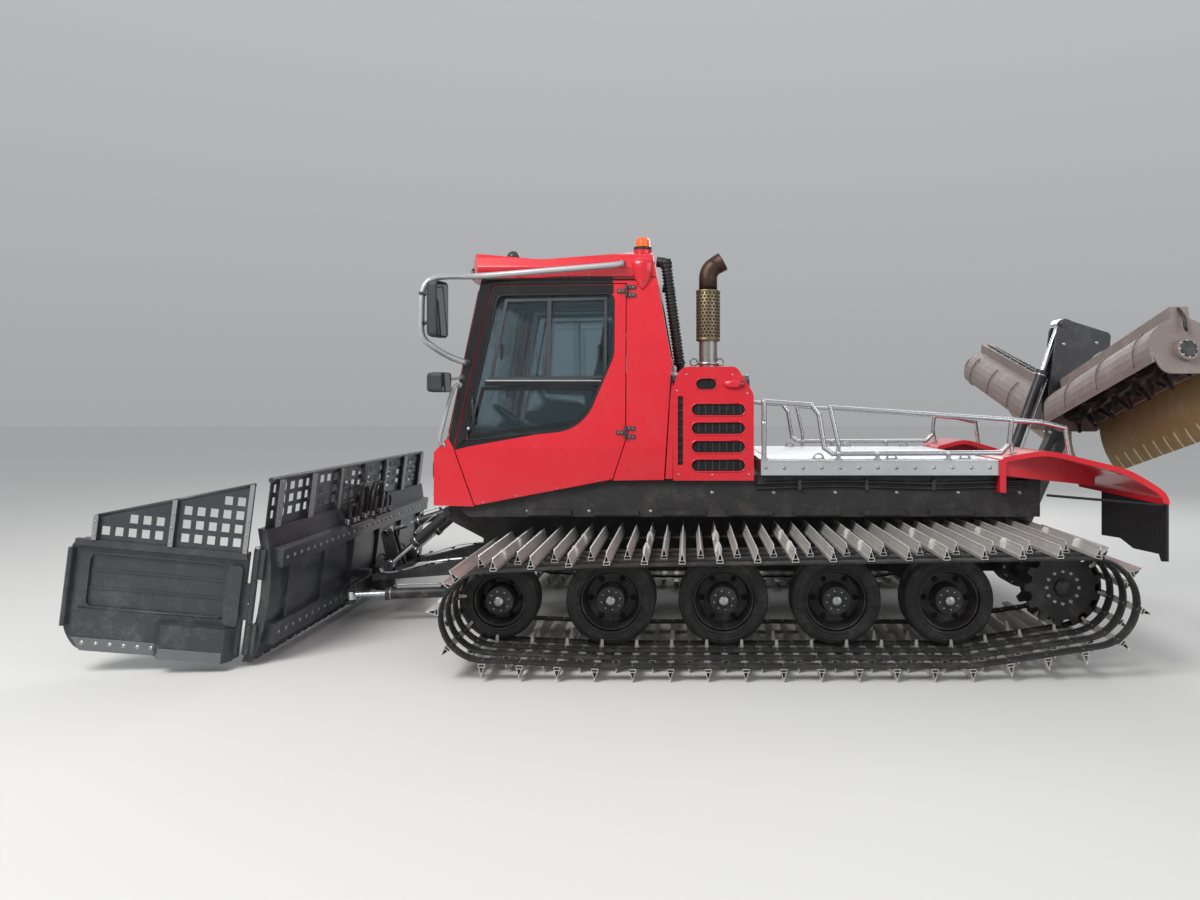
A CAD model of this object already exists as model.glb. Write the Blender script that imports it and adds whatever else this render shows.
"""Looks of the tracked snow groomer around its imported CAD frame. Metres, +X forward, +Y left, +Z up."""

from contextlib import contextmanager
from math import acos, atan2, ceil, cos, degrees, pi, radians, sin, tan

import bmesh
import bpy
from mathutils import Matrix, Vector


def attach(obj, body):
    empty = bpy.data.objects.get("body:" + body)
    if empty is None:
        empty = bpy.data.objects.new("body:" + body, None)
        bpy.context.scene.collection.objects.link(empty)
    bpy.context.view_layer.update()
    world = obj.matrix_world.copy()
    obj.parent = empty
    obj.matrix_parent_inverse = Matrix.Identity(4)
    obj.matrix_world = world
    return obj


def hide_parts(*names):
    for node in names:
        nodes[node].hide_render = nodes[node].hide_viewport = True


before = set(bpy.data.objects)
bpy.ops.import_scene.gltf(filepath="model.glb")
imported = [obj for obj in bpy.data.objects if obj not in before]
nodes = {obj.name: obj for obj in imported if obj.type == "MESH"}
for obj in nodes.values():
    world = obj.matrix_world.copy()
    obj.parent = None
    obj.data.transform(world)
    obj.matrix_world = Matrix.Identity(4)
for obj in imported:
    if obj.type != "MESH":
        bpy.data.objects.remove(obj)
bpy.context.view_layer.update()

# Distance from the tracks' middle, where the sizes below start, to the frame's origin
CENTRE_X = 0.8511575


def at(x, y, z):
    """A place given in millimetres from the tracks' middle, as the CAD source gives it."""
    return Vector((x / 1000 - CENTRE_X, y / 1000, z / 1000))


def show(name, data):
    """A new object in the scene."""
    made = bpy.data.objects.new(name, data)
    bpy.context.scene.collection.objects.link(made)
    return made


# Camera
camera = show("camera", bpy.data.cameras.new("camera"))
camera.location = (0.631 - CENTRE_X, 7.725, 1.75)
camera.rotation_euler = (pi / 2, 0, pi)
for k, v in {"sensor_width": 36, "lens": 27, "shift_x": -0.0733, "shift_y": -0.0392}.items():
    setattr(camera.data, k, v)
camera.data.dof.use_dof = False
bpy.context.scene.camera = camera
bpy.context.scene.view_settings.view_transform = "Standard"


# Materials
class Graph:
    """A small helper that adds nodes to a material and links them."""

    def __init__(self, name):
        self.mat = M[name] = bpy.data.materials.new(name)
        self.mat.use_nodes = True
        self.tree = self.mat.node_tree
        self.shader = self.tree.nodes["Principled BSDF"]
        self.coords = self.node("TexCoord", "Object")

    def node(self, kind, output, inputs=(), **settings):
        """An output of a new node, which takes its settings first and then its inputs."""
        n = self.tree.nodes.new("ShaderNode" + kind)
        for k, v in settings.items():
            setattr(n, k, v)
        for k, v in dict(inputs).items():
            self.put(n.inputs[k], v)
        return n.outputs[output]

    def put(self, socket, value):
        if isinstance(value, bpy.types.NodeSocket):
            self.tree.links.new(value, socket)
        else:
            socket.default_value = value

    def shade(self, **inputs):
        """Sets the shader's inputs; an underscore stands for a space."""
        for k, v in inputs.items():
            self.put(self.shader.inputs[k.replace("_", " ")], v)

    def noise(self, scale, detail=4.0, rough=0.55, stretch=(1, 1, 1)):
        v = self.node("Mapping", "Vector", {"Vector": self.coords, "Scale": stretch})
        return self.node("TexNoise", "Fac", {"Vector": v, "Scale": scale, "Detail": detail, "Roughness": rough})

    def span(self, value, low, high, to_low=0.0, to_high=1.0):
        return self.node("MapRange", "Result", {"Value": value, "From Min": low, "From Max": high,
            "To Min": to_low, "To Max": to_high})

    def math(self, operation, a, b):
        return self.node("Math", 0, {0: a, 1: b}, operation=operation)

    def times(self, a, b):
        return self.math("MULTIPLY", a, b)

    def mix(self, factor, a, b):
        return self.node("Mix", 2, {0: factor, 6: a, 7: b}, data_type="RGBA")

    def up(self, vector):
        """The Z of a vector."""
        return self.node("SeparateXYZ", "Z", {"Vector": vector})

    def normal(self):
        return self.node("NewGeometry", "Normal")

    def edges(self):
        """1 on sharp outer edges, 0 elsewhere."""
        bevel = self.node("Bevel", "Normal", {"Radius": 0.004}, samples=3)
        dot = self.node("VectorMath", "Value", {0: bevel, 1: self.normal()}, operation="DOT_PRODUCT")
        return self.span(dot, 0.97, 0.8)

    def bump(self, value, strength, distance=0.001):
        inputs = {"Height": value, "Strength": strength, "Distance": distance}
        last = self.shader.inputs["Normal"]
        if last.is_linked:
            inputs["Normal"] = last.links[0].from_socket
        self.put(last, self.node("Bump", "Normal", inputs))


def rgb(r, g, b):
    """A colour given as sRGB from 0 to 255."""
    def linear(v):
        v /= 255
        return v / 12.92 if v <= 0.04045 else ((v + 0.055) / 1.055) ** 2.4
    return (linear(r), linear(g), linear(b), 1.0)


def surface(name, color, rough, metal=0.0, dirt=None, wear=None, grain=0.02, grain_scale=400, coat=0.0, spread=0.12,
        stretch=(1, 1, 1), low_dirt=0.0):
    """A layered surface: an uneven base, dirt in patches and at the foot, wear on its edges and a fine grain.
    Dirt is a colour with its share."""
    g = Graph(name)
    patch = g.noise(2.3, 6.0, 0.6, stretch)
    fine = g.noise(38.0, 5.0, 0.65, stretch)
    shade = g.span(g.math("ADD", patch, g.times(fine, 0.4)), 0.4, 1.0, 1 - spread, 1 + spread)
    base = g.node("VectorMath", "Vector", {0: rgb(*color)[:3], "Scale": shade}, operation="SCALE")
    roughness = g.span(fine, 0.3, 0.75, rough * 0.85, min(1.0, rough * 1.2))
    metallic = metal
    if dirt:
        speck = g.span(g.math("ADD", g.noise(7.0, 9.0, 0.72), g.times(g.noise(85.0, 3.0), 0.35)), 0.66, 0.95)
        flat = g.span(g.up(g.normal()), 0.2, 1.0, 0.55, 1.0)
        amount = g.times(g.times(speck, flat), dirt[1])
        if low_dirt:
            low = g.span(g.up(g.coords), 0.9, 0.1, 0.0, low_dirt)
            amount = g.math("MAXIMUM", amount, g.times(low, speck))
        base = g.mix(amount, base, rgb(*dirt[0]))
        roughness = g.math("MAXIMUM", roughness, g.times(amount, 0.85))
    if wear:
        chips = g.times(g.edges(), g.span(g.noise(60.0, 6.0, 0.7), 0.45, 0.62))
        base = g.mix(chips, base, rgb(*wear))
        metallic = g.math("MAXIMUM", metal, g.times(chips, 0.8))
    g.shade(Base_Color=base, Roughness=roughness, Metallic=metallic, Coat_Weight=coat, Coat_Roughness=0.06)
    g.bump(g.noise(grain_scale, 3.0, 0.6, stretch), grain)
    g.bump(patch, 0.05, 0.004)
    return g


M = {}
DUST, BARE, SAND = (150, 143, 138), (150, 150, 152), (140, 138, 134)

surface("body_red", (206, 22, 40), 0.3, coat=0.35, dirt=(DUST, 0.12), grain=0.012, grain_scale=900, spread=0.05,
    low_dirt=0.15)
surface("black_paint", (38, 38, 41), 0.42, dirt=(DUST, 0.35), wear=(96, 96, 98), low_dirt=0.5)
surface("chassis_black", (34, 33, 35), 0.6, dirt=((120, 112, 104), 0.5), low_dirt=0.6, grain=0.05)
surface("aluminium", (206, 204, 200), 0.4, 0.6, ((170, 160, 152), 0.6), (225, 225, 228), 0.05, low_dirt=0.35,
    stretch=(1, 0.12, 1))
surface("belt_rubber", (30, 30, 31), 0.8, dirt=((120, 116, 112), 0.4), grain=0.25, grain_scale=240)
surface("tyre_rubber", (26, 26, 27), 0.72, dirt=((128, 124, 120), 0.45), grain=0.15, low_dirt=0.3)
surface("engine_iron", (92, 94, 96), 0.55, 0.6, ((60, 48, 38), 0.5), grain=0.3)
surface("blade_paint", (52, 55, 60), 0.34, dirt=(SAND, 0.3), wear=(120, 121, 123), low_dirt=0.45,
    grain=0.03)
surface("trim_plastic", (40, 40, 42), 0.6, grain=0.3, grain_scale=700)
surface("seat_cloth", (46, 47, 52), 0.95, grain=0.6, grain_scale=1100, spread=0.2)
surface("bright_tube", (198, 200, 204), 0.26, 0.95, (DUST, 0.15), stretch=(0.2, 1, 1))
surface("rod_chrome", (214, 216, 220), 0.09, 1.0, spread=0.03, grain=0.004)
surface("black_gloss", (14, 14, 16), 0.12, coat=0.5, dirt=(DUST, 0.08), grain=0.01)
surface("mirror_case", (46, 48, 50), 0.5, grain=0.15, grain_scale=600)
surface("worn_edge", (118, 120, 123), 0.36, 0.7, (SAND, 0.35), (200, 201, 204), low_dirt=0.3)
surface("mirror_face", (200, 206, 210), 0.03, 1.0, spread=0.02, grain=0.0)
# Each row: name, colour, roughness, metal, dirt, wear and grain
for row in (
    ("dull_steel", (148, 146, 142), 0.38, 0.9, ((96, 78, 62), 0.35), None, 0.06),
    ("zinc", (176, 178, 180), 0.35, 0.9, None, None, 0.08),
    ("gasket", (20, 20, 21), 0.7, 0, None, None, 0.12),
    ("hood_plastic", (124, 112, 108), 0.62, 0, ((176, 168, 160), 0.6), None, 0.12),
    ("edge_band", (74, 40, 38), 0.7, 0, ((150, 140, 132), 0.4), None, 0.15),
    ("rotor_steel", (62, 58, 56), 0.5, 0.7, ((110, 84, 62), 0.4), BARE, 0.1),
    ("white_block", (214, 212, 206), 0.5, 0, (DUST, 0.4), (240, 240, 238)),
    ("hose_rubber", (24, 24, 25), 0.5, 0, (DUST, 0.25), None, 0.2),
    ("orange_post", (214, 116, 52), 0.4, 0, (DUST, 0.15)),
    ("dark_inside", (10, 10, 11), 0.85),
    ("frame_grey", (50, 53, 58), 0.35, 0, (DUST, 0.2)),
    ("rail_alu", (204, 206, 210), 0.32, 0.9, (DUST, 0.2)),
    ("brass_guard", (126, 112, 88), 0.42, 0.8, ((74, 64, 54), 0.6), None, 0.06),
    ("burnt_steel", (74, 58, 50), 0.5, 0.8, ((44, 36, 32), 0.6), None, 0.08),
    ("mirror_tube", (178, 180, 183), 0.36, 0.45, (DUST, 0.2)),
    ("light_grey_post", (128, 132, 136), 0.38, 0, ((150, 148, 144), 0.3), BARE),
):
    surface(*row)

# Deck plate: raised bars that cross in pairs
g = surface("deck_plate", (200, 201, 203), 0.36, 0.75, ((132, 126, 120), 0.35), grain=0.04)
spots = []
for a in (pi / 4, -pi / 4):
    v = g.node("Mapping", "Vector", {"Vector": g.coords, "Rotation": (0, 0, a), "Scale": (1.0, 3.6, 1.0)})
    spots.append(g.node("TexVoronoi", "Distance", {"Vector": v, "Scale": 17.0, "Randomness": 0.0}))
g.bump(g.span(g.math("MINIMUM", *spots), 0.34, 0.2), 0.6, 0.002)

# Beacon: ribbed translucent orange
g = surface("beacon_lens", (240, 112, 22), 0.18, coat=0.6, grain=0.01)
g.shade(Transmission_Weight=0.45, Emission_Color=rgb(240, 100, 20), Emission_Strength=0.25)
wave = g.node("TexWave", "Fac", {"Vector": g.coords, "Scale": 55.0}, bands_direction="Z")
g.bump(wave, 0.5, 0.002)

# Finisher mats: streaked translucent plastic
g = surface("mat_plastic", (150, 128, 84), 0.4, 0, ((190, 184, 172), 0.6), grain=0.1, stretch=(1, 8, 1))
g.shade(Transmission_Weight=0.25)

# Tinted glass, with a film of dust
g = Graph("tinted_glass")
film = g.span(g.noise(3.0, 8.0, 0.7), 0.45, 0.9, 0.0, 0.12)
g.shade(Base_Color=g.mix(film, rgb(134, 158, 168), rgb(196, 200, 200)),
    Roughness=g.span(g.noise(24.0, 5.0), 0.3, 0.8, 0.015, 0.07), Transmission_Weight=0.9, Alpha=0.62, IOR=1.2)
surface("clear_lens", (225, 228, 230), 0.08, coat=0.5, grain=0.01).shade(Transmission_Weight=0.6)
surface("red_lens", (190, 20, 20), 0.12, coat=0.6, grain=0.01).shade(Transmission_Weight=0.3)

# A star stands for left and for right
LOOKS = {
    "body_red": "cab_roof door_* pods fenders",
    "chassis_black": "chassis running_gear_*",
    "black_paint": "engine_hood push_frame lift_barrels top_barrel swing_yoke swing_barrel_* rear_arm hitch"
    " link_barrel",
    "engine_iron": "engine_block", "aluminium": "track_*", "tyre_rubber": "tyres_*",
    "tinted_glass": "windscreen rear_window door_glass_*", "seat_cloth": "seats",
    "trim_plastic": "console", "deck_plate": "deck", "bright_tube": "rails_*", "gasket": "flaps",
    "hose_rubber": "hose_arches", "blade_paint": "blade_panel blade_guard wing_* wing_guard_*",
    "rod_chrome": "lift_rods top_rod swing_rod_* link_rod",
    "hood_plastic": "hood_*", "mat_plastic": "mats_*", "rotor_steel": "rotor_*", "beacon_lens": "lamps",
}

# The cab's flank leans inwards above its sill
SILL, SILL_Y = 1420, 1050
LEAN = atan2(SILL_Y - 925, 2720 - SILL)
C, S = cos(LEAN), sin(LEAN)
HINGE_X = 1094


def dress(name, key, also=()):
    """Gives a CAD node its material, and other ones to the faces for which a test holds."""
    mesh = nodes[name].data
    mesh.materials.clear()
    for k in [key] + [other for other, _ in also]:
        mesh.materials.append(M[k])
    for p in mesh.polygons:
        p.material_index = 0
        for i, (_, test) in enumerate(also):
            if test(p.normal, *mm(p.center)):
                p.material_index = i + 1


def mm(c):
    """A place in the frame as millimetres from the tracks' middle."""
    return (c.x + CENTRE_X) * 1000, c.y * 1000, c.z * 1000


def off_flank(y, z):
    """How far a place stands out of the cab's sloped flank."""
    return (abs(y) - SILL_Y) * C + max(0, z - SILL) * S


def at_hinge(n, x, y, z):
    return abs(x - HINGE_X) < 80 and off_flank(y, z) > 0.6


for key, names in LOOKS.items():
    for name in names.split():
        for one in [name.replace("*", s) for s in ("left", "right")][:1 + name.count("*")]:
            dress(one, key)
dress("cab_body", "body_red", [
    ("trim_plastic", lambda n, x, y, z: off_flank(y, z) < -8 and 1180 < z < 2690 and 800 < x < 2500
    and (n.x < 0.5 or x < 1000)),
    ("black_gloss", lambda n, x, y, z: n.x > 0.5 and z > 1486 and x > 2150),
    ("black_paint", at_hinge),
])
for name in ("door_left", "door_right"):
    dress(name, "body_red", [("trim_plastic", lambda n, x, y, z: off_flank(y, z) < -8), ("black_paint", at_hinge)])
dress("exhaust", "dull_steel", [
    ("brass_guard", lambda n, x, y, z: 2224 < z < 2616 and n.z < 0.5),
    ("burnt_steel", lambda n, x, y, z: z > 2600),
])


# Added pieces, gathered by body and material into joined meshes
class Now:
    """The body that pieces are added to, and whether they are mirrored to its right twin."""
    body, mirrored = "chassis", False


gathered = {}
X, Y, Z = (1, 0, 0), (0, 1, 0), (0, 0, 1)


@contextmanager
def riding(body):
    """Adds to another body for a while."""
    last, Now.body = Now.body, body
    yield
    Now.body = last


def add(key, verts, faces, matrix=None, smooth=False):
    """Adds a mesh given in millimetres from the tracks' middle."""
    name = Now.body
    if Now.mirrored and name.endswith("_left"):
        name = name[:-5] + "_right"
    if (name, key) not in gathered:
        gathered[name, key] = bmesh.new()
    bm = gathered[name, key]
    made = []
    for v in verts:
        x, y, z = matrix @ Vector(v) if matrix else Vector(v)
        made.append(bm.verts.new(at(x, -y if Now.mirrored else y, z)))
    for f in faces:
        try:
            bm.faces.new([made[i] for i in (f[::-1] if Now.mirrored else f)]).smooth = smooth
        except ValueError:
            pass


def vec(x, y, z):
    return Vector((x, y, z))


def moved(x, y, z):
    return Matrix.Translation((x, y, z))


def polar(r, a, x=0, y=0):
    """A point on a circle round x, y."""
    return x + r * cos(a), y + r * sin(a)


def turns(n, start=0.0):
    """The angles of n even steps round a circle."""
    return [2 * pi * k / n + start for k in range(n)]


def basis(origin, z, x=X):
    """A matrix whose Z points along z, with X as near to x as it can be."""
    z = Vector(z).normalized()
    x = Vector(x)
    if abs(x.normalized().dot(z)) > 0.95:
        x = Vector(Y if abs(z.y) < 0.9 else Z)
    y = z.cross(x).normalized()
    m = Matrix((y.cross(z), y, z)).transposed().to_4x4()
    m.translation = Vector(origin)
    return m


def stack(key, rings, matrix=None, smooth=False, caps=True):
    """A skin over rings of points, all with the same count."""
    n = len(rings[0])
    faces = [[i * n + j, i * n + (j + 1) % n, (i + 1) * n + (j + 1) % n, (i + 1) * n + j]
        for i in range(len(rings) - 1) for j in range(n)]
    if caps:
        faces += [list(range(n))[::-1], [(len(rings) - 1) * n + j for j in range(n)]]
    add(key, [p for r in rings for p in r], faces, matrix, smooth)


def prism(key, outline, z0, z1, matrix=None):
    stack(key, [[(x, y, z) for x, y in outline] for z in (z0, z1)], matrix)


def box(key, lo, hi, matrix=None, chamfer=0.0):
    """A box, with its upright edges and its top edges cut by chamfer."""
    (x0, y0, z0), (x1, y1, z1) = lo, hi
    if not chamfer:
        prism(key, [(x0, y0), (x1, y0), (x1, y1), (x0, y1)], z0, z1, matrix)
        return

    def ring(k, z):
        a, b, c, d = x0 + k, x1 - k, y0 + k, y1 - k
        e = chamfer
        return [(x, y, z) for x, y in ((a + e, c), (b - e, c), (b, c + e), (b, d - e), (b - e, d), (a + e, d),
            (a, d - e), (a, c + e))]
    stack(key, [ring(chamfer, z0), ring(0, z0 + chamfer), ring(0, z1 - chamfer), ring(chamfer, z1)], matrix)


def side(y):
    """The frame of an outline seen from the side, [x, z]."""
    return Matrix(((1, 0, 0, 0), (0, 0, -1, y), (0, 1, 0, 0), (0, 0, 0, 1)))


def front(x):
    """The frame of an outline seen from the front, [y, z]."""
    return Matrix(((0, 0, 1, x), (1, 0, 0, 0), (0, 1, 0, 0), (0, 0, 0, 1)))


def lathe(key, profile, matrix, seg, caps=True):
    """Turns [radius, height] points round Z."""
    stack(key, [[(*polar(r, a), h) for a in turns(seg)] for r, h in profile], matrix, True, caps)


def hoop(key, matrix, r, z, step, half, flat, seg):
    """A raised band round a tube, with its ends bevelled."""
    lathe(key, [(r, z - half), (r + step, z - flat), (r + step, z + flat), (r, z + half)], matrix, seg, False)


def cap(key, matrix, seg, r, h, r2, h2, foot=0):
    """A round head with a bevelled rim."""
    lathe(key, [(r, foot), (r, h), (r2, h2)], matrix, seg)


def rod(key, a, b, r, seg, bevel=0.0):
    along = Vector(b) - Vector(a)
    e = min(bevel, r * 0.5)
    profile = [(r, e), (r, along.length - e)]
    if e:
        profile = [(r - e, 0)] + profile + [(r - e, along.length)]
    lathe(key, profile, basis(a, along), seg)


def bolt(p, n, r, h):
    """A hexagon bolt with its washer."""
    m = basis(p, n)
    lathe("zinc", [(r * 1.5, 0), (r * 1.5, 1.6)], m, 12)
    lathe("zinc", [(r, 1.2), (r, h - 1), (r * 0.86, h)], m, 6)


def button(p, n, r, h):
    """A round screw's head."""
    lathe("zinc", [(r, 0), (r * 0.9, h * 0.6), (r * 0.5, h)], basis(p, n), 10)


def smooth_path(points):
    """A Catmull-Rom curve through the points, in steps of about 24 mm."""
    pts = [2 * points[0] - points[1]] + points + [2 * points[-1] - points[-2]]
    out = []
    for i in range(1, len(pts) - 2):
        a, b, c, d = pts[i - 1:i + 3]
        n = max(2, int((c - b).length / 24))
        for t in (k / n for k in range(n)):
            out.append(0.5 * ((2 * b) + (c - a) * t + (2 * a - 5 * b + 4 * c - d) * t * t
                + (3 * b - a - 3 * c + d) * t ** 3))
    return out + [pts[-2]]


def tube(key, points, r, seg=10, curved=True, matrix=None):
    """A tube through points, smooth or with sharp bends."""
    path = [matrix @ Vector(p) if matrix else Vector(p) for p in points]
    if curved:
        path = smooth_path(path)
    rings = []
    x = Vector(Z)
    for i, p in enumerate(path):
        d = (path[min(i + 1, len(path) - 1)] - path[max(i - 1, 0)]).normalized()
        x = x - d * x.dot(d)
        if x.length < 1e-3:
            x = d.orthogonal()
        x.normalize()
        y = d.cross(x)
        rings.append([tuple(p + r * (cos(a) * x + sin(a) * y)) for a in turns(seg)])
    stack(key, rings, None, True)


def hose(points):
    """A hydraulic hose with crimped steel fittings at its ends."""
    r = 9
    tube("hose_rubber", points, r)
    for a, b in ((points[0], points[1]), (points[-1], points[-2])):
        p = Vector(a)
        d = (Vector(b) - p).normalized()
        rod("zinc", p, p + d * r * 4.4, r * 1.3, 14, 1.5)
        lathe("zinc", [(r * 1.7, 0), (r * 1.7, r * 1.4)], basis(p - d * r * 0.2, d), 6)


def ring_band(key, outer, inner, z0, z1, matrix):
    """A flat frame between two outlines with the same count of points."""
    n = len(outer)
    verts = [(x, y, z) for z in (z0, z1) for o in (outer, inner) for x, y in o]
    faces = []
    for i in range(n):
        j = (i + 1) % n
        faces += [[i, j, n + j, n + i][::-1], [2 * n + i, 2 * n + j, 3 * n + j, 3 * n + i],
            [i, j, 2 * n + j, 2 * n + i], [n + i, n + j, 3 * n + j, 3 * n + i][::-1]]
    add(key, verts, faces, matrix)


def rounded(points, n=5):
    """Corners given as [x, y, radius], rounded in n steps."""
    out = []
    for i, (*p, r) in enumerate(points):
        b = Vector(p)
        a, c = Vector(points[i - 1][:2]), Vector(points[(i + 1) % len(points)][:2])
        u, v = (a - b).normalized(), (c - b).normalized()
        half = acos(max(-1, min(1, u.dot(v)))) / 2
        s, e = b + u * r / tan(half), b + v * r / tan(half)
        o = b + (u + v).normalized() * r / sin(half)
        a0, a1 = atan2(*(s - o).yx), atan2(*(e - o).yx)
        d = (a1 - a0 + pi) % (2 * pi) - pi
        out += [polar(r, a0 + d * k / n, *o) for k in range(n + 1)]
    return out


def rectangle(x0, z0, x1, z1):
    return [(x0, z0), (x1, z0), (x1, z1), (x0, z1)]


def inset(points, d):
    """A convex anticlockwise outline moved inwards by d."""
    out = []
    for i, p in enumerate(points):
        b = Vector(p)
        u, v = (b - Vector(points[i - 1])).normalized(), (Vector(points[(i + 1) % len(points)]) - b).normalized()
        s, t = Vector((-u.y, u.x)), Vector((-v.y, v.x))
        out.append(tuple(b + (s + t) * d / (1 + s.dot(t))))
    return out


def turned_left(outline):
    """The outline, run anticlockwise."""
    area = sum(a[0] * b[1] - b[0] * a[1] for a, b in zip(outline, outline[1:] + outline[:1]))
    return outline if area > 0 else outline[::-1]


# The materials that the added pieces use most
BLACK, GLOSS, DARK, TRIM, RED = "black_paint", "black_gloss", "dark_inside", "trim_plastic", "body_red"
ALU, HOSE, PAINT, TUBE, GREY = "aluminium", "hose_rubber", "blade_paint", "mirror_tube", "frame_grey"

# Tracks: the same wrap as the CAD's, with smoother belts, hollow bars and serrated blades
WHEEL_Z, WHEEL_R = 409.4, 307
WHEELS = [(1155 - 766 * i, WHEEL_Z, WHEEL_R) for i in range(4)]
IDLER, SPROCKET_X, SPROCKET_Z = (1912, 405, 262), -1920, 492
FIRST = (1155, WHEEL_Z, 307.4)
WRAPS = [FIRST, (1912, 405, 270), FIRST, (SPROCKET_X, SPROCKET_Z, 270), (-1143, WHEEL_Z, 307.4)]
BELTS, BELT_HALF, BELT_T = [2050, 1870, 1690, 1510, 900], 42, 17.0
BAR_H, BAR_FOOT, BAR_N = 85, 21.0, 80
LONG_BAR, SHORT_BAR = (660, 2100), (780, 1900)
TYRE_Y = 1400


def run_angle(a, b):
    d = Vector((b[0] - a[0], b[1] - a[1]))
    w = degrees(atan2(d.y, d.x)) - degrees(acos((a[2] - b[2]) / d.length))
    return w + 360 if w < -91 else w


def track_loop(off, step):
    out = []
    for i, (x, z, r) in enumerate(WRAPS):
        a0, a1 = run_angle(WRAPS[i - 1], WRAPS[i]), run_angle(WRAPS[i], WRAPS[(i + 1) % len(WRAPS)])
        sweep = (a1 - a0 + 360) % 360
        n = max(2, ceil(sweep / step))
        out += [Vector(polar(r + off, radians(a0 + sweep * k / n), x, z)) for k in range(n + 1)]
    return out


def serrated(y0, y1):
    """The blade's outline along the bar, [across, height], with teeth on its edge."""
    n = round((y1 - y0) / 34)
    pitch = (y1 - y0) / n
    top = [(y0 + (i + t) * pitch, z) for i in range(n) for t, z in ((0, 78), (0.2, BAR_H), (0.62, BAR_H), (0.82, 77))]
    return [(y0, 56)] + top + [(y1, 77), (y1, 56)]


def belts():
    """Each belt is a bevelled strip, [share of the thickness, step inwards, place across]."""
    b, w = 4, BELT_HALF
    ring_at = ((0, 0, b - w), (0, 0, w - b), (0, b, w), (1, -b, w),
        (1, 0, w - b), (1, 0, b - w), (1, -b, -w), (0, b, -w))
    for y in BELTS:
        rings = []
        for lo, hi in zip(track_loop(0.6, 7), track_loop(BELT_T - 0.6, 7)):
            n = (hi - lo).normalized()
            rings.append([(p.x + n.x * k, y + dy, p.y + n.y * k) for i, k, dy in ring_at for p in ((lo, hi)[i],)])
        stack("belt_rubber", rings + rings[:1], None, False, False)


def track():
    belts()
    outer = track_loop(BELT_T, 28)
    path = outer + [outer[0]]
    at_s = [0.0]
    for a, b in zip(path, path[1:]):
        at_s.append(at_s[-1] + (b - a).length)
    for i in range(BAR_N):
        s = at_s[-1] * (i + 0.5) / BAR_N
        k = max(j for j in range(len(outer)) if at_s[j] <= s)
        d = (path[k + 1] - path[k]).normalized()
        o = path[k] + d * (s - at_s[k])
        # local axes: X along the track, Y across it, Z outwards
        m = Matrix(((d.x, 0, d.y, o.x), (0, 1, 0, 0), (d.y, 0, -d.x, o.y), (0, 0, 0, 1)))
        turn = m.to_3x3()
        across = m @ side(0)
        y0, y1 = SHORT_BAR if i % 2 else LONG_BAR
        f = BAR_FOOT
        # a closed foot tube, the two walls of the wedge and the web between them
        for x0, z0, x1, z1 in ((-f, 0.5, f, 4), (-f, 19, f, 22), (-f, 4, 3 - f, 19), (f - 3, 4, f, 19),
                (-7, 56, 7, 60)):
            box(ALU, (x0, y0, z0), (x1, y1, z1), m)
        for e in (-1, 1):
            wall = [(e * 15, 22), (e * 12, 22), (e * 3.6, 58), (e * 6.6, 58)]
            prism(ALU, wall[::-e], -y1, -y0, across)
        prism(ALU, serrated(y0 + 4, y1 - 2)[::-1], -3.2, 3.2, m @ front(0))
        for y in BELTS:
            if y + BELT_HALF <= y1:
                for e in (-24, 24):
                    button(m @ vec(0, y + e, -BELT_T - 0.4), -(turn @ Vector(Z)), 9, 1.4)
                box("zinc", (-19, y - 39, 0.2), (19, y + 39, 2.2), m)
        # guide horns on both sides of the wheels
        if i % 2 == 0:
            for y in (1388, 1632):
                low = -BELT_T - 46
                prism(ALU, [(-8, low), (8, low), (13, -BELT_T), (-13, -BELT_T)], -y - 3, 3 - y, across)
                box(ALU, (-13, y - 3, -BELT_T), (13, y + 3, 2), m)
        # blocks against sliding sideways
        if i % 4 == 2:
            for y in (1250, 1780):
                prism("white_block", [(-25, 23), (25, 23), (21, 60), (9, 84), (-9, 84), (-21, 60)], -y - 30, 30 - y,
                    across)
                for e in (-12, 12):
                    button(m @ vec(23, y + e, 40), turn @ Vector(X), 5, 3)


def wheels():
    for x, z, r in [IDLER] + WHEELS:
        m = basis((x, TYRE_Y, z), Y, Z)
        hole = r * 0.68
        # tyre with round shoulders, a grooved tread and ribs on its wall
        profile = [(hole + 2, 8), (r * 0.80, 2), (r * 0.93, 4), (r - 6, 12), (r - 1, 24)]
        for c in range(44, 177, 33):
            profile += [(r - 0.6, c - 9), (r - 5, c - 6), (r - 5, c - 1), (r - 0.6, c + 2)]
        profile += [(r - 1, 196), (r - 6, 208), (r * 0.93, 216), (r * 0.80, 218), (hole + 2, 212)]
        lathe("tyre_rubber", profile, m, 56, False)
        for rib in (r * 0.72, r * 0.86):
            lathe("tyre_rubber", [(rib, 216), (rib + 3, 219.5), (rib + 8, 219.5), (rib + 11, 216)], m, 48, False)
        # rim's lip, hub cap, nuts and the disc's holes
        lathe(BLACK, [(hole - 4, 197), (hole - 1, 199), (hole - 9, 199), (hole - 12, 196)], m, 40, False)
        lathe("zinc", [(34, 226), (34, 240), (26, 246), (10, 247)], m, 28)
        for a in turns(8, 0.2):
            button(m @ vec(*polar(64, a), 210), Y, 8, 9)
        for a in turns(6, pi / 6):
            lathe(DARK, [(19, 112), (19, 113)], m @ moved(*polar(hole / 2 + 41, a), 0), 16)
        # grease nipple, and the swing arm's bolts on the tub
        button((x, 1648, z), Y, 6, 8)
        for dx, dz in ((-30, -40), (60, -10), (140, 90), (200, 110)):
            bolt((x + dx, 646, z + dz), Y, 11, 9)
    m = basis((SPROCKET_X, 0, SPROCKET_Z), Y, Z)
    for a in turns(12):
        bolt(m @ vec(*polar(110, a), 1600), Y, 9, 9)
        bolt(m @ vec(*polar(128, a), 830), Y, 8, 8)
    lathe(BLACK, [(60, 1600), (56, 1624), (20, 1630)], m, 32)


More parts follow.
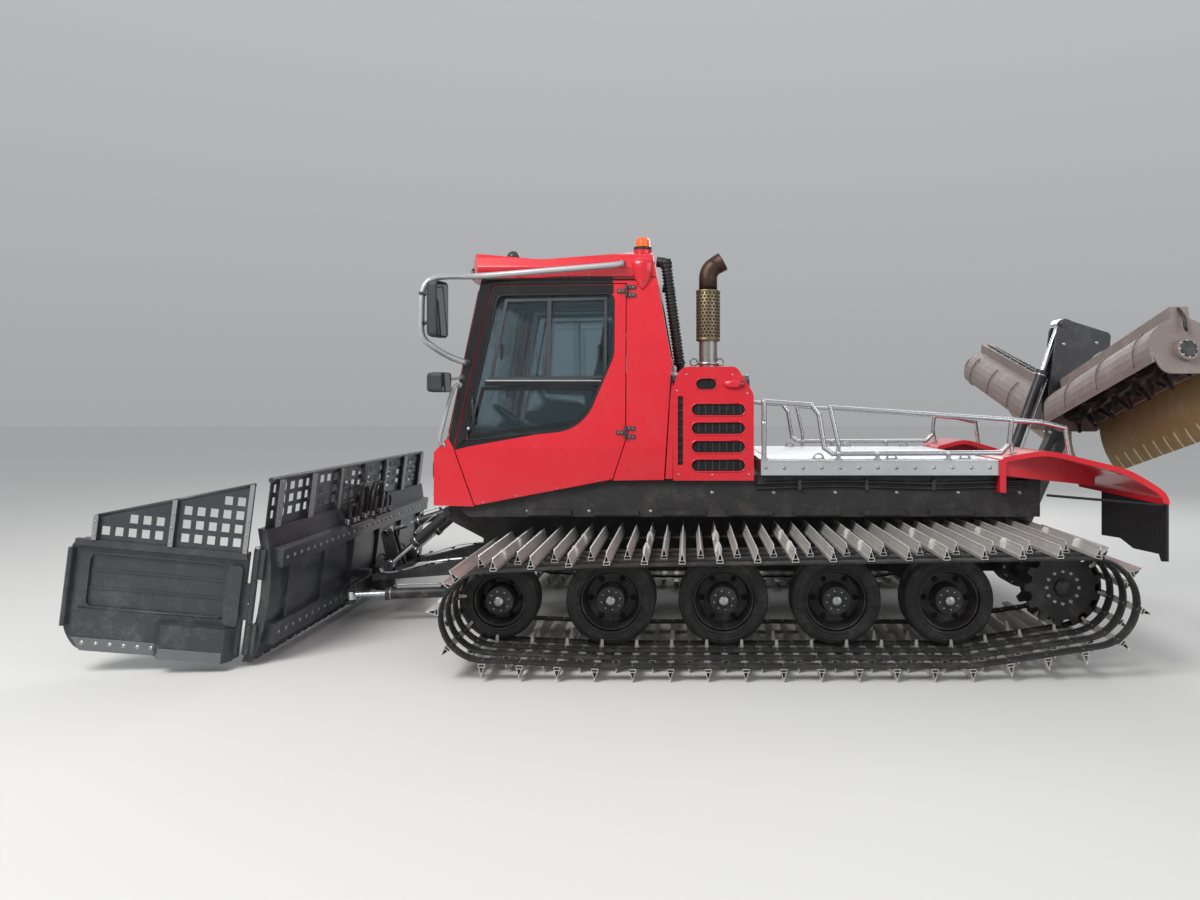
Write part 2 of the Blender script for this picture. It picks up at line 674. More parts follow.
# Outlines on the cab's flank are given as [x, z], and what stands out of it has a negative height
OUT, UP = vec(0, C, S), vec(0, -S, C)
FLANK = Matrix(((1, 0, 0, 0), (0, -S, -C, SILL_Y), (0, C, -S, SILL), (0, 0, 0, 1)))


def on_flank(points):
    return turned_left([(x, (z - SILL) / C) for x, z in points])


def flank_at(x, z, out=0.0):
    return FLANK @ vec(x, (z - SILL) / C, -out)


def flank_box(key, x0, z0, x1, z1, out0, out1, chamfer=0.0):
    box(key, (x0, (z0 - SILL) / C, -out1), (x1, (z1 - SILL) / C, -out0), FLANK, chamfer)


def flank_plate(points):
    prism(GLOSS, on_flank(points), -1.5, 0.0, FLANK)


def doors():
    edge = on_flank(rounded([(2286, 1470, 40), (2066, 2566, 60), (1190, 2580, 60), (1190, 2110, 260),
        (1420, 1560, 320)], 9))
    # glossy surround of the window, and the pane's gasket
    ring_band(GLOSS, inset(edge, -8), inset(edge, 1), -1.5, 0.0, FLANK)
    flank_plate([(2358, 1403), (2109, 2634), (2060, 2570), (2284, 1462)])
    flank_plate([(2109, 2634), (1193, 2645), (1190, 2574), (2066, 2562)])
    flank_plate([(2358, 1403), (2292, 1478), (1780, 1530), (1780, 1513), (1846, 1501), (2050, 1465), (2242, 1431)])
    with riding("chassis"):
        flank_plate([(2368, 1410), (2408, 1482), (2196, 2650), (2186, 2692), (2112, 2692), (2117, 2641)])
        flank_plate([(2118, 2643), (2118, 2692), (1198, 2698), (1198, 2654)])
    ring_band("gasket", inset(edge, -3), inset(edge, 8), -4.0, 22.0, FLANK)
    # sliding window: frame, middle post, rail and two grips
    frame_out = on_flank([(2120, 1920), (2010, 2535), (1240, 2550), (1240, 1935)])
    ring_band(GREY, frame_out, inset(frame_out, 22), 9.0, 21.5, FLANK)
    flank_box(GREY, 1660, 1945, 1690, 2535, -21.5, -6)
    flank_box(GLOSS, 1225, 1878, 2150, 1912, -21.5, -2, 2)
    flank_box("rail_alu", 1232, 1913, 2140, 1923, -21.5, -4, 1)
    for x in (1288, 2020):
        flank_box("gasket", x, 2080, x + 20, 2190, -10, 2, 3)
    lower = on_flank([(2262, 1490), (2176, 1872), (1262, 1872), (1318, 1740), (1450, 1600)])
    ring_band(GLOSS, lower, inset(lower, 26), 19.5, 21.6, FLANK)
    # handle with its feet, and the lock
    tube(BLACK, [flank_at(*p) for p in ((2214, 1612, 2), (2214, 1614, 36), (2222, 1690, 44), (2230, 1772, 36),
        (2230, 1774, 2))], 10, 12)
    flank_box("gasket", 2196, 1588, 2234, 1640, 0, 5, 2)
    flank_box("gasket", 2212, 1748, 2250, 1800, 0, 5, 2)
    lathe("zinc", [(13, 0), (13, 4), (9, 7), (4, 7)], basis(flank_at(2262, 1560), OUT), 20)
    # screws of the hinges
    for t in (112, 1180):
        for dx in (26, 52):
            foot = vec(HINGE_X, SILL_Y + 16, SILL) + UP * t - OUT * 4
            button(foot + vec(dx, 0, 0), OUT, 5, 3.5)
            with riding("chassis"):
                for dz in (-31, 31):
                    button(foot - vec(dx, 0, 0) + UP * dz, OUT, 5, 3.5)
    # latch and pull strap on the inner side
    flank_box(TRIM, 2110, 1500, 2200, 1560, -70, -52, 6)
    flank_box(TRIM, 1260, 1440, 2180, 1462, -66, -52, 4)


def eye(key, x, y, z, r, thick, share=1.0):
    """A bent rod round a circle seen from the side, or round a share of it."""
    n = round(16 * share)
    tube(key, [(x + r * cos(pi * k / 8), y, z + r * sin(pi * k / 8)) for k in range(n + 1)], thick, 8, False)


def cab():
    # drip rail over the door, with the roof's screws
    tube("gasket", [flank_at(930, 2683, 3), flank_at(2150, 2683, 3), flank_at(2176, 2640, 3)], 7, 8, False)
    for x in range(1000, 2200, 190):
        button((x, 931, 2716), (0, 1, 0.2), 5, 4)
    # ribbed duct down the back of the cab, with its clamps
    a, b = vec(800, 800, 2826), vec(694, 800, 2034)
    long = (b - a).length
    waves = int(long / 25)
    m = basis(a, b - a)
    lathe(HOSE, [(r, long * k / waves + h) for k in range(waves)
        for r, h in ((35, 0), (43, 5), (44, 13), (36, 19))], m, 26)
    cap(HOSE, m, 26, 46, 12, 40, 16, -26)
    rod(HOSE, a, (872, 800, 2836), 40, 20, 5)
    for f in (0.03, 0.97):
        lathe(BLACK, [(46, -7), (47.5, -5), (47.5, 5), (46, 7)], basis(a.lerp(b, f), b - a), 30)
    # grab rail beside the windscreen
    tube(TUBE, [(2444, 1040, 1438), (2470, 1066, 1470), (2436, 1062, 1620), (2400, 1048, 1776),
        (2366, 1034, 1872), (2342, 1004, 1884)], 15, 12)
    for p, n in (((2446, 1041, 1436), (0.5, 0.6, -0.2)), ((2339, 1001, 1884), (0.2, 1, 0.1))):
        cap("zinc", basis(p, n), 18, 23, 5, 15, 8, -4)
    # screws of the panel under the door, the roof's joint and a dome
    for x in (1300, 1600, 1900, 2150):
        button((x, SILL_Y, 1193 - (x - 1195) * 0.188), Y, 6, 4)
    tube("gasket", [(2316, 900, 2702), (1600, 926, 2702), (880, 926, 2702)], 5, 6, False)
    lathe(BLACK, [(50, 0), (49, 28), (38, 52), (18, 64), (3, 66)], basis((1975, 790, 2852), Z), 26)


SCREEN_FOOT = 1485


def bulge(y):
    """How far the crowned front falls back at a distance from its middle."""
    return y * y / 7600


def on_screen(y, z, out):
    """A place in front of the windscreen's pane."""
    return vec(2541 + out - (z - SCREEN_FOOT) * (2437 - 2192) / (2655 - SCREEN_FOOT) - bulge(y), y, z)


def cab_front():
    # gasket round the windscreen
    hole = [(-930, 1525), (930, 1525), (842, 2600), (-842, 2600)]
    loop = []
    for (ya, za), (yb, zb) in zip(hole, hole[1:] + hole[:1]):
        loop += [on_screen(ya + (yb - ya) * k / 12, za + (zb - za) * k / 12, 10) for k in range(12)]
    tube("gasket", loop + [loop[0]], 12, 8, False)
    # wipers
    for y in (430, -430):
        foot = vec(2583 - bulge(y), y, 1472)
        cap(BLACK, basis(foot, (0.7, 0, 0.7)), 18, 22, 10, 14, 20, -6)
        tube(BLACK, [foot + vec(10, 0, 10), on_screen(y - 60, 1600, 34), on_screen(y - 250, 1960, 24)], 7, 8)
        tube("gasket", [on_screen(y - 355 + k * 26, 1710 + k * 62, 9) for k in range(9)], 8, 6)
    # lamps, screws and grille of the nose
    nose = 2665
    for s in (-1, 1):
        for y, r in ((600, 72), (800, 60)):
            m = basis((nose - bulge(y) - 20, s * y, 1240), (1, s * y / 3800, 0))
            lathe(GLOSS, [(r + 14, 0), (r + 14, 24), (r + 4, 28), (r, 20)], m, 34)
            lathe("mirror_face", [(r, 14), (r * 0.9, 10), (r * 0.3, 6)], m, 34)
            lathe("clear_lens", [(r, 21), (r * 0.9, 24), (r * 0.5, 26), (2, 27)], m, 34)
        for y in (240, 480, 940):
            button((nose - bulge(y), s * y, 1060), X, 8, 4)
    for z in range(1130, 1299, 24):
        prism(DARK, rectangle(-360, z, 360, z + 12), 2640, nose - bulge(360) + 14, front(0))
    # lamps under the visor
    for y in (-620, -360, 360, 620):
        m = basis((min(2330, 2395 - y * y / 5200) - 12, y, 2764), X)
        lathe(GLOSS, [(50, 0), (50, 18), (44, 22), (41, 16)], m, 30)
        lathe("clear_lens", [(41, 16), (34, 19), (3, 21)], m, 30)


def cab_inside():
    for s in (-1, 1):
        # seats: headrest on its posts, arm rests, belts and seams
        y = 470 * s
        stack("seat_cloth", [[(1190 + dx, y + dy, z) for dx, dy in rectangle(-a, -b, a, b)]
            for a, b, z in ((30, 120, 2392), (42, 150, 2410), (42, 150, 2540), (24, 120, 2562))])
        for e in (-1, 1):
            rod("bright_tube", (1222, y + 70 * e, 2360), (1212, y + 70 * e, 2410), 9, 12)
            arm = y + e * 292
            box(TRIM, (1350, arm - 34, 1815), (1720, arm + 34, 1866), None, 12)
            box(TRIM, (1376, arm - 16, 1660), (1430, arm + 16, 1816), None, 5)
        box(GLOSS, (1262, y + s * 238, 2270), (1296, y + s * 262, 2330), None, 5)
        tube("gasket", [(1286, y + s * 250, 2290), (1330, y + s * 246, 2080), (1420, y + s * 252, 1720)], 9, 6)
        for k in range(4):
            z = 1830 + k * 130
            for x, w, h in ((1440 + k * 110, 240, 1683), (1386 - (z - 1690) * 110 / 690, 225, z)):
                tube("gasket", [(x, y - w, h), (x, y + w, h)], 4, 5, False)
        rod("orange_post", (2300, 900 * s, 1560), (2150, 850 * s, 2560), 20, 16, 3)
    rod("orange_post", (1870, 0, 1930), (1790, 0, 2650), 18, 16, 3)
    # monitor on its stalk, steering wheel, pedals and switches
    box(GLOSS, (2170, -160, 1600), (2200, 160, 1800), None, 8)
    rod(TRIM, (2270, 0, 1490), (2195, 0, 1640), 16, 12)
    m = basis((2070, 470, 1640), (-0.6, 0, 0.8))
    tube("gasket", [(*polar(158, k * pi / 16), 0) for k in range(33)], 13, 10, False, m)
    for a in turns(3, 0.5):
        rod(TRIM, m @ vec(0, 0, -10), m @ vec(*polar(154, a), 0), 10, 10)
    rod(TRIM, (2290, 470, 1440), (2070, 470, 1632), 26, 16, 3)
    for k in range(6):
        for y in (-60, 30):
            cap(GLOSS, basis((1580 + k * 42, y, 1752 + k * 6), Z), 14, 12, 8, 9, 12)
    for y in (400, 540):
        box("gasket", (2140, y - 40, 1260), (2170, y + 40, 1380), None, 5)
        rod(BLACK, (2160, y, 1300), (2250, y, 1420), 9, 10)


def beacon_and_pod():
    m = moved(983, 700, 0)
    lathe("gasket", [(70, 2938), (71, 2962), (66.5, 2964)], m, 36, False)
    for a in turns(3):
        button(m @ vec(*polar(71, a), 2950), (*polar(1, a), 0), 4, 4)
    # teardrop pod on the cab's rear corner, under the beacon
    rings = []
    for k in range(12):
        f, top = min(k, 9) / 9, max(k - 9, 0)
        z, swell = 2604 + f * 214, sin(f * pi / 2)
        wide = (12 + 80 * swell ** 0.8) * (1, 0.8, 0.4)[top]
        out = (12 + 50 * swell) * (1, 0.8, 0.4)[top]
        cy = min(SILL_Y - (z - SILL) * S / C, 930) - (4, 14, 34)[top]
        rings.append([(972 + wide * cos(a), cy + out * sin(a), z + (0, 24, 40)[top]) for a in turns(24)])
    stack(RED, rings, None, True)


def slot_path(x0, x1, z, r):
    """A slot with round ends."""
    turn = [(r * cos(pi / 2 + pi * k / 10), r * sin(pi / 2 + pi * k / 10)) for k in range(11)]
    return [(x0 + a, z + b) for a, b in turn] + [(x1 - a, z - b) for a, b in turn]


def covers():
    face = 1049
    # dark floors of the slots with bright guard bars, and the slots' rolled lips
    floor = side(face - 11)
    for x0, x1, z, r, thick in [(250, 560, 1700 - i * 138, 43, 6) for i in range(4)] + [(460, 530, 1890, 40, 5)]:
        prism(DARK, slot_path(x0, x1, z, r), -1.2, -0.2, floor)
        if thick == 6:
            for x in range(236, 549, 52):
                box(GREY, (x, z - 36, -4), (x + 7, z + 36, -1.2), floor)
        lip = slot_path(x0, x1, z, r + 4)
        tube(RED, [(x, face - 0.5, zz) for x, zz in lip + lip[:1]], thick, 8, False)
    box(DARK, (668, 1290, -1.2), (706, 1800, -0.2), floor)
    for z in range(1320, 1755, 62):
        box(GREY, (668, z, -4), (706, z + 6, -1.2), floor)
    for x, z in ((180, 1220), (700, 1220), (712, 1840), (640, 1960), (300, 1960), (190, 1820), (450, 1216)):
        button((x, SILL_Y, z), Y, 8, 5)
    # lamp bump on the cover's rear corner, and the seam against the cab
    rings = []
    for f in (k / 6 * 1.35 for k in range(7)):
        w, h, o = 84 * cos(f), 40 * cos(f), 34 * sin(f)
        rings.append([(288 + w * cos(a), face + o, 1890 + h * sin(a)) for a in turns(24)][::-1])
    stack(RED, rings, None, True)
    m = basis((236, 1060, 1890), (-0.5, 1, 0))
    cap(GLOSS, m, 22, 22, 10, 18, 13)
    lathe("red_lens", [(17, 11), (12, 16), (3, 17)], m, 22)
    prism(RED, [(744, 1186), (799, 1186), (762, 1790), (748, 1900), (744, 1900)], -24, 2, side(1022))
    prism(DARK, [(744, 1184), (806, 1184), (757, 1960), (744, 1960)], -8, 0, side(1006))
    # louvres and catches on the hood's top, and the rear grille's frame
    for x in range(220, 621, 80):
        box("gasket", (x, 120, 1979), (x + 42, 420, 1990), None, 3)
    for x in (260, 640):
        box("zinc", (x, 536, 1900), (x + 46, 562, 1936), None, 4)
    for y in range(64, 385, 80):
        box("gasket", (126, y, 1336), (140, y + 8, 1824), None, 1)


def exhaust():
    x0, y0, bend, z0 = 476, 800, 110, 2710
    m = moved(x0, y0, 0)
    # perforated guard: hoops and rows of small holes
    lathe("brass_guard", [(89, 2232), (91, 2240), (91, 2604), (89, 2612)], m, 48, False)
    for k in range(14):
        for a in turns(20, pi * (k % 2) / 20):
            hole = basis(m @ vec(*polar(91, a), 2262 + k * 25), (*polar(1, a), 0))
            lathe(DARK, [(8.5, 0), (8.5, 0.8)], hole, 8)
    for z in (2238, 2606):
        hoop("brass_guard", m, 91, z, 2.5, 9, 7, 48)
    elbow = [polar(bend, radians(7.5 * k), x0 - bend, z0) for k in range(1, 9)]
    tube("burnt_steel", [(x0, y0, 2612), (x0, y0, z0)] + [(x, y0, z) for x, z in elbow], 70, 32, False)
    # lifting eyes beside the pipe
    for x in (586, 384):
        eye("dull_steel", x, y0, 2066, 27, 7)
        cap("dull_steel", moved(x, y0, 0), 16, 22, 2040, 9, 2044, 2034)
    lathe("zinc", [(72, 2040), (84, 2044), (84, 2060), (72, 2064)], m, 40, False)
    # outlet with its rolled rim and dark inside
    x, z = elbow[-1]
    end = basis((x, y0, z), (-sin(pi / 3), 0, cos(pi / 3)))
    lathe("burnt_steel", [(62.4, -8), (70, -2), (73, 62), (74, 66), (67, 66), (60, 20)], end, 44, False)
    lathe(DARK, [(61, 12), (60, 12.5)], end, 40)


def deck_details():
    # edge angle, bolts and lashing eyes
    for x in range(-1600, 60, 138):
        bolt((x, 1080, 1272), Y, 9, 6)
        button((x + 60, 1000, 1332), Z, 7, 3)
    for z0, z1 in ((1216, 1226), (1318, 1327)):
        box("rail_alu", (-1670, z0, -3.5), (90, z1, 0), side(1080))
    for x in (-1450, -900, -350):
        eye("zinc", x, 960, 1336, 34, 7, 0.5)
        box("zinc", (x - 46, 944, 1332), (x + 46, 976, 1337), None, 1.5)
    # clamps on the rails' posts
    for x, z in ((67, 1600), (-485, 1377), (-774, 1377), (-1300, 1377)):
        for a in turns(4, pi / 4):
            button((*polar(24, a, x, 1050), 1335), Z, 3.5, 4)
        hoop("rail_alu", moved(x, 1050, 0), 20, z, 2, 12, 10, 20)
    # skirts over the tracks: bolts, long hoses and their clips
    for x in range(-1850, 2200, 460):
        bolt((x, 1000, 1080 if x < 900 else 940), Y, 10, 7)
    for y, z, end, r in ((1014, 1150, 1170, 12), (1013, 1112, 1130, 9)):
        tube(HOSE, [(-1900, y, end), (-1200, y + 2, z), (-500, y, z + 16), (120, y, z)], r, 8)
    for x in (-1700, -1200, -700, -200):
        box(BLACK, (x - 14, 1000, 1098), (x + 14, 1032, 1184), None, 3)
    # fenders: side skirt, rubber edge and screws
    prism(RED, turned_left([(-1664, 1328), (-1790, 1366), (-1960, 1384), (-2130, 1349), (-2290, 1290),
        (-2368, 1238), (-2368, 1138), (-2170, 1161), (-1664, 1217)]), -4, 4, side(1088))
    tube("gasket", [(x, z, 1090) for x, z in ((-1935, 1292), (-2050, 1440), (-2180, 1598), (-2290, 1740),
        (-2390, 1868), (-2470, 1892))], 9, 8)
    for p in ((-1760, 1070, 1352), (-2000, 1180, 1392), (-2180, 1330, 1340), (-1800, 1120, 1360)):
        button(p, Z, 8, 5)
    # tail lamps and bolts on the flap
    flap_x = -2484
    for y, key in ((1120, "red_lens"), (1210, "clear_lens")):
        m = basis((flap_x, y, 980), (-1, 0, 0))
        cap(GLOSS, m, 26, 36, 14, 31, 18)
        lathe(key, [(30, 16), (24, 21), (3, 23)], m, 26)
    for y in (1040, 1300, 1560, 1800):
        bolt((flap_x, y, 1060), (-1, 0, 0), 9, 6)


def mirrors():
    # loop from the roof's side round the tall mirror and back to the pillar
    tube(TUBE, [(1130, 966, 2800), (1172, 992, 2784), (1700, 1004, 2737), (2190, 1016, 2696),
        (2400, 1120, 2678), (2500, 1188, 2645), (2552, 1206, 2560), (2560, 1210, 2400),
        (2556, 1206, 2240), (2500, 1160, 2168), (2400, 1070, 2096), (2290, 1004, 2050)], 23, 14)
    for r, h, r1, h1, p, n in ((34, 6, 24, 12, (2284, 989, 2050), (0.2, 1, 0.1)),
            (28, 6, 22, 10, (1130, 936, 2798), (0, 1, 0.2)),
            (24, 5, 16, 9, (2318, 1001, 1938), (0, 1, 0.1))):
        lathe(BLACK, [(r, 0), (r, h), (r1, h1)], basis(p, n), 22 if r > 24 else 18)
    rod(TUBE, (1130, 938, 2798), (1134, 975, 2799), 16, 14)
    rod(TUBE, (1900, 940, 2716), (1900, 1012, 2722), 9, 12)
    # each mirror: a crowned housing with its face to the rear
    for place, deep, w, h, r in (((2444, 1232, 2425), 44, 90, 203, 34), ((2450, 1168, 1900), 64, 76, 72, 26)):
        m = moved(*place) @ Matrix.Rotation(radians(-14), 4, "Z")

        def outline(a, b, c):
            return rounded([(*p, c) for p in rectangle(-a, -b, a, b)])
        stack("mirror_case", [[(x, *p) for p in outline(w * k, h * (1 + k) / 2, r * k)]
            for x, k in ((-deep, 0.96), (8 - deep, 1.0), (deep * 0.2, 1.0), (deep * 0.75, 0.9),
            (deep, 0.66))], m)
        stack("mirror_face", [[(-deep - x, *p) for p in outline(w * 0.86, h * 0.93, r)] for x in (2, 0)], m)
    for z in (2330, 2540):
        rod(BLACK, (2556, 1208, z), (2484, 1226, z), 13, 12, 2)
        lathe(BLACK, [(21, -16), (24, -12), (24, 12), (21, 16)], moved(2556, 1207, z), 18)
    tube(TUBE, [(2322, 996, 1938), (2352, 1040, 1934), (2400, 1120, 1920), (2440, 1150, 1914)], 11, 10)


# Blade: upright from its cutting edge, leaned back, and each wing on its hinge
WING_HINGE = (-30, 1766)
BLADE = moved(3600, 0, 30) @ Matrix.Rotation(radians(-7), 4, "Y")
WING = BLADE @ moved(*WING_HINGE, 0) @ Matrix.Rotation(radians(-82), 4, "Z")


def wing():
    back = WING @ front(0)
    ahead = WING.to_3x3() @ Vector(X)
    # wear edge with bolts, along the foot of both faces
    for x0, x1, n in ((-34, -25.2, -1), (25.2, 33, 1)):
        prism("worn_edge", turned_left([(120, 14), (1000, 14), (1060, 96), (100, 96)]), x0, x1, back)
        for y in range(150, 991, 84):
            bolt(WING @ vec(x0 if n < 0 else x1, y, 62), ahead * n, 10, 7)
    # rib round the recess, stiffeners and weld beads
    edge = turned_left(rounded([(*p, 40) for p in rectangle(170, 300, 1000, 645)], 6))
    ring_band(PAINT, inset(edge, -10), inset(edge, 0), -30.0, -25.0, back)
    for z in (415, 530):
        prism(PAINT, rectangle(176, z, 994, z + 10), -16.0, -8.0, back)
    tube(PAINT, [(-27, 60, 292), (-27, 1040, 292)], 5, 6, False, WING)
    # guard posts in light grey, with bolts
    for y in (60, 520, 980):
        h = 1195 - (y - 50) * 0.324
        prism("light_grey_post", [(y - 14, 737), (y + 14, 737), (y + 14, h - 4), (y - 14, h + 4)], -70.0, -64.2, back)
        for z in (770, 860, 950):
            if z < h - 30:
                button(WING @ vec(-70, y, z), -ahead, 7, 5)
    tube(PAINT, [(-36, 50, 1190), (-36, 985, 888)], 11, 8, False, WING)
    # grease nipple and pin head of the hinge
    with riding("blade"):
        cap("zinc", BLADE @ moved(*WING_HINGE, 765), 18, 19, 8, 13, 13, -4)
    button(WING @ vec(-22, 10, 400), -ahead, 6, 9)
    # clear wear film on the curved end plate
    film = WING @ Matrix(((1, 0, 0, 0), (0, 0, 1, 0), (0, 1, 0, 0), (0, 0, 0, 1)))
    prism("worn_edge", rectangle(-60, 190, 50, 660), 1124.2, 1125.2, film)
    # runner shoe under its box
    prism("worn_edge", [(-112, 112), (-112, 498), (-118, 498), (-118, 112)], 20, 90, WING)


def blade():
    n = BLADE.to_3x3() @ Vector(X)
    for y in range(70, 1720, 110):
        bolt(BLADE @ vec(-11, y, 70), n, 11, 7)
        for z in (190, 700):
            bolt(BLADE @ vec(-166, y, z), -n, 9, 7)
    for y in (0.001, 535, 1070, 1600):
        wide = 44 if y > 1000 else 24
        box("light_grey_post", (-72, y - wide, 892), (-68.2, y + wide, 1214), BLADE, 1)
        for z in (930, 1040, 1150):
            button(BLADE @ vec(-72, y, z), -n, 8, 5)
    for y in (300, 900, 1500):
        tube(PAINT, [(-106, y, 270), (-106, y, 630)], 7, 6, False, BLADE)
    # bulkhead plate of the hoses with its unions
    box(BLACK, (-186, 44, 744), (-92, 520, 760.2), BLADE, 3)
    for y, x in ((60, -110), (300, -110), (92, -140), (268, -140), (330, -118), (470, -118), (360, -146), (500, -146)):
        m = BLADE @ moved(x, y, 760.4)
        cap("zinc", m, 6, 17, 16, 15, 18)
        lathe("zinc", [(14.6, 18), (14.6, 44), (12, 48)], m, 16, False)


def push_frame():
    # pipes along the arms with their clamps, the pins' lock plates, grease nipples and hoses
    tube("zinc", [(2440, 450, 494), (2700, 448, 462), (3000, 420, 378), (3120, 400, 370)], 7, 8)
    tube("zinc", [(2440, 430, 496), (2700, 430, 464), (3000, 402, 380), (3110, 384, 371)], 7, 8)
    for x in (2560, 2760, 2960):
        z = 470 - (x - 2560) * 0.2
        box(BLACK, (x - 12, 420, z), (x + 12, 462, z + 16), None, 2)
    for y, s in ((280, -1), (380, 1)):
        cap("zinc", basis((3090, y, 420), (0, s, 0)), 16, 20, 3, 12, 6, -3)
    for p in ((2400, 500, 460), (2500, 470, 290), (3240, 80, 326)):
        button(p, Z, 6, 9)
    hose([(3110, 384, 371), (3150, 380, 430), (3150, 300, 470), (3130, 230, 430), (3130, 210, 372)])
    hose([(3120, 400, 370), (3170, 390, 440), (3172, 270, 500), (3150, 170, 440), (3150, 150, 372)])
    for s in (-1, 1):
        cap("zinc", basis((3200, s * 72, 650), (0, s, 0)), 18, 22, 4, 14, 8)
    lathe("zinc", [(20, 144), (40, 150), (40, 158)], moved(3240, 0, 0), 18)


def dressed(body, a, b, length, r, up=Z):
    """Gland, ports and pipe of a cylinder's barrel, along its own axis."""
    along = Vector(b) - Vector(a)
    m = basis(a, along, up)
    with riding(body):
        hoop("zinc", m, r + 7.2, length - 39, 0.8, 5, 3, 28)
        for c in turns(6):
            button(m @ vec(*polar(r - 4, c), length), along, 4, 3)
        for h in (108, length - 70):
            rod(BLACK, m @ vec(r - 4, 0, h), m @ vec(r + 16, 0, h), 12, 12, 2)
            cap("zinc", basis(m @ vec(r + 10, 0, h), m.to_3x3() @ Vector(X)), 6, 12, 12, 10, 14)
        tube("zinc", [(r + 22, 0, 108), (r + 26, 0, 140), (r + 26, 0, length - 100), (r + 22, 0, length - 70)], 6, 8,
            matrix=m)


def cylinders():
    if not Now.mirrored:
        dressed("top_barrel", (2638, 0, 834), (3200, 0, 650), 350, 37)
        dressed("link_barrel", (-2100, 0, 1180), (-2550, 0, 2420), 900, 43, (-1, 0, 0))
    dressed("lift_barrels", (2584, 330, 859), (3090, 330, 420), 400, 37)
    dressed("swing_barrel_left", (2500, 470, 230), (3300, 600, 230), 545, 43)


def rear():
    """Bolts and hoses of the rear arm and the hitch."""
    slope = -0.333
    for s in (-1, 1):
        with riding("rear_arm"):
            for z in (900, 1200, 1500):
                bolt((-2170 + (z - 640) * slope, s * 60, z), (0, s, 0), 10, 7)
            hose([(-2262, s * 40, 860), (-2400, s * 46, 1000), (-2470, s * 46, 1250), (-2560, s * 44, 1500),
                (-2604, s * 40, 1640)])
        cap("zinc", basis((-2560, s * 101, 1720), (0, s, 0)), 24, 40, 6, 24, 12)
        for x, z in ((-2640, 1900), (-2480, 1800), (-2560, 2250), (-2840, 2260)):
            bolt((x, s * 87, z), (0, s, 0), 10, 7)


HALF = moved(-2560, 140, 1780) @ Matrix.Rotation(radians(14), 4, "X") @ moved(0, -140, -140)


def tiller():
    up, hood_r = HALF.to_3x3(), 225

    def arc(r, y, degs):
        return [(r * cos(radians(a)), y, r * sin(radians(a))) for a in degs]
    # bolted band along the hood's rear edge, where the mats hang
    for y in range(240, 1951, 114):
        for a in (radians(196), radians(186)):
            n = vec(cos(a), 0, sin(a))
            bolt(HALF @ (n * (hood_r + 0.4) + vec(0, y, 0)), up @ n, 8, 6)
    stack("edge_band", [arc(hood_r + 1.5, y, range(182, 202, 3)) + arc(hood_r, y, range(200, 181, -3))
        for y in (212, 1950)], HALF)
    # ribs over the hood, and the bolts of its backbone
    for y in (620, 1180, 1740):
        for degs in (range(-12, 60, 6), range(126, 194, 6)):
            tube("hood_plastic", arc(hood_r + 8, y, degs), 6, 6, False, HALF)
    for y in range(300, 1771, 210):
        for x in (-40, 40):
            bolt(HALF @ vec(x, y, 299), up @ Vector(Z), 10, 7)
    # motor cover and pipes along the backbone
    cap(BLACK, HALF @ basis((0, 0, 0), Y, Z), 30, 60, 2010, 44, 2018, 2004)
    for a in turns(8):
        bolt(HALF @ vec(54 * cos(a), 2011, 54 * sin(a)), up @ Vector(Y), 6, 5)
    for pipe in (((20, 220, 308), (24, 700, 310), (20, 1300, 310), (10, 1880, 306), (0, 1990, 240), (0, 2006, 130)),
            ((-16, 220, 308), (-20, 700, 310), (-18, 1300, 310), (-12, 1850, 306), (-10, 1984, 236),
            (-8, 2004, 120))):
        tube(HOSE, pipe, 10, 8, True, HALF)


for body, *parts in (("chassis", track, wheels), ("door_left", doors), ("chassis", cab, covers, deck_details, mirrors),
        ("wing_left", wing), ("blade", blade), ("lift_frame", push_frame), ("chassis", cylinders),
        ("tiller_left", tiller)):
    for part in parts:
        for Now.mirrored in (False, True):
            with riding(body):
                part()
Now.mirrored = False
for body, part in (("hitch", rear), ("chassis", cab_front), ("chassis", cab_inside), ("chassis", beacon_and_pod),
        ("chassis", exhaust)):
    with riding(body):
        part()

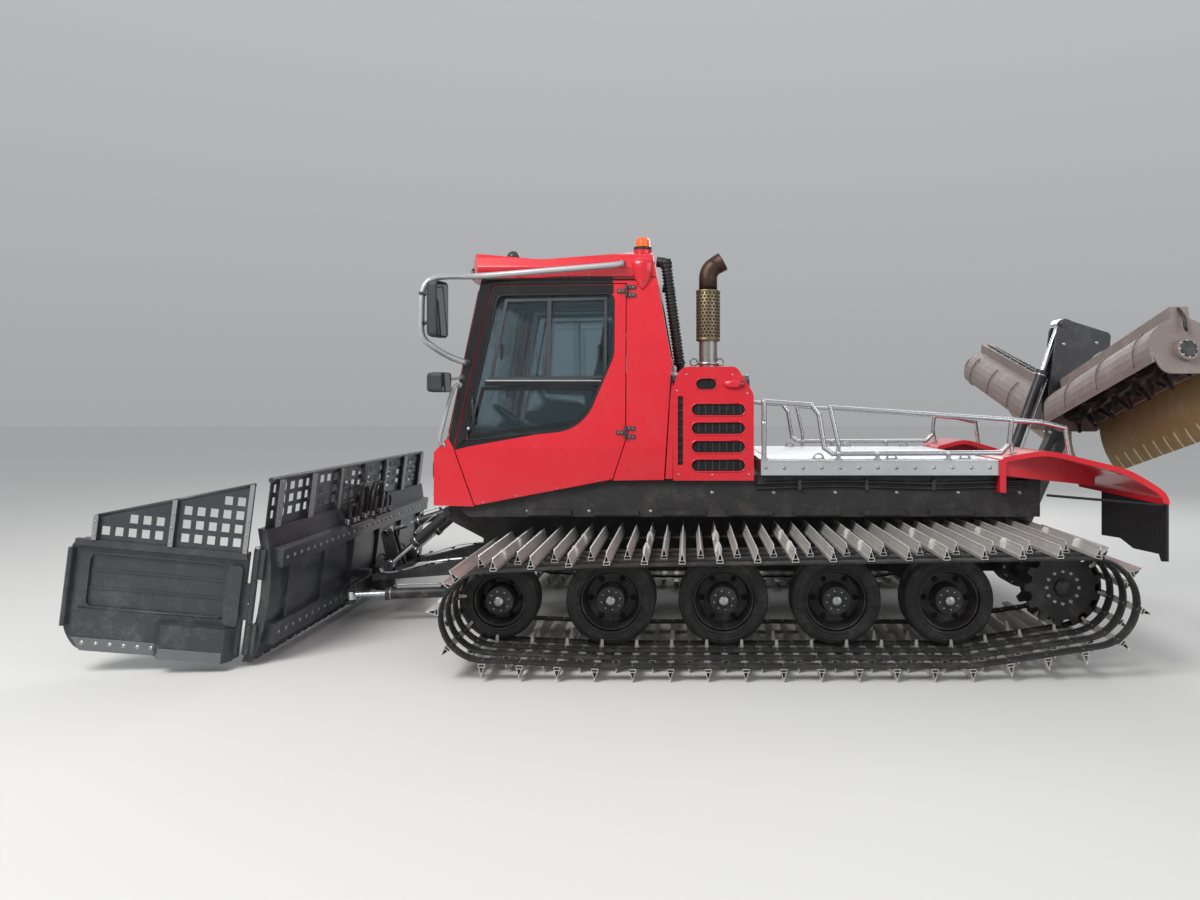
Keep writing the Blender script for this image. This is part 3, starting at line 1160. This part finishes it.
# Objects from the gathered pieces, each on its body
for (body, key), bm in gathered.items():
    mesh = bpy.data.meshes.new(f"{body}_{key}")
    bmesh.ops.recalc_face_normals(bm, faces=bm.faces)
    bm.to_mesh(mesh)
    bm.free()
    obj = show(mesh.name, mesh)
    mesh.materials.append(M[key])
    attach(obj, body)
    if (body, key) == ("chassis", "aluminium"):
        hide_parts("track_left", "track_right")
    if (body, key) == ("chassis", "tyre_rubber"):
        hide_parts("tyres_left", "tyres_right")
    if (body, key) == ("chassis", "mirror_tube"):
        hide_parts("mirrors")

# Round faces of the CAD nodes are smooth, their edges stay sharp
for obj in nodes.values():
    obj.data.polygons.foreach_set("use_smooth", [True] * len(obj.data.polygons))
    obj.data.set_sharp_from_angle(angle=radians(32))

# Floor, light and world
plane = bpy.data.meshes.new("floor")
plane.from_pydata([(-60, -60, 0), (60, -60, 0), (60, 60, 0), (-60, 60, 0)], [], [(0, 1, 2, 3)])
floor = show("floor", plane)
g = Graph("floor")
g.shade(Base_Color=rgb(206, 206, 204), Roughness=0.85)
plane.materials.append(g.mat)


def area_light(name, place, target, size, power, colour=(1, 1, 1)):
    data = bpy.data.lights.new(name, "AREA")
    data.shape = "RECTANGLE"
    data.size, data.size_y = size
    data.energy = power
    data.color = colour
    lamp = show(name, data)
    lamp.location = place
    lamp.rotation_euler = (Vector(target) - Vector(place)).to_track_quat("-Z", "Y").to_euler()


area_light("key", (5.5, 7.5, 8.5), (0, 0, 1), (4.6, 4.6), 1060, (1.0, 0.98, 0.95))
area_light("fill", (-8.0, 8.0, 4.5), (0, 0, 1), (7, 5), 260, (0.95, 0.97, 1.0))
area_light("rim", (-3.0, -8.0, 6.5), (0, 0, 1.2), (8, 4), 420)
world = bpy.data.worlds.new("world")
world.use_nodes = True
shade = world.node_tree
sky = shade.nodes.new("ShaderNodeMapRange")
place = shade.nodes.new("ShaderNodeSeparateXYZ")
coords = shade.nodes.new("ShaderNodeTexCoord")
shade.links.new(coords.outputs["Generated"], place.inputs[0])
shade.links.new(place.outputs["Z"], sky.inputs["Value"])
for end, value in (("From Min", -0.1), ("From Max", 0.7), ("To Min", 0.38), ("To Max", 0.62)):
    sky.inputs[end].default_value = value
shade.links.new(sky.outputs["Result"], shade.nodes["Background"].inputs["Strength"])
shade.nodes["Background"].inputs["Color"].default_value = (0.93, 0.95, 0.98, 1)
bpy.context.scene.world = world
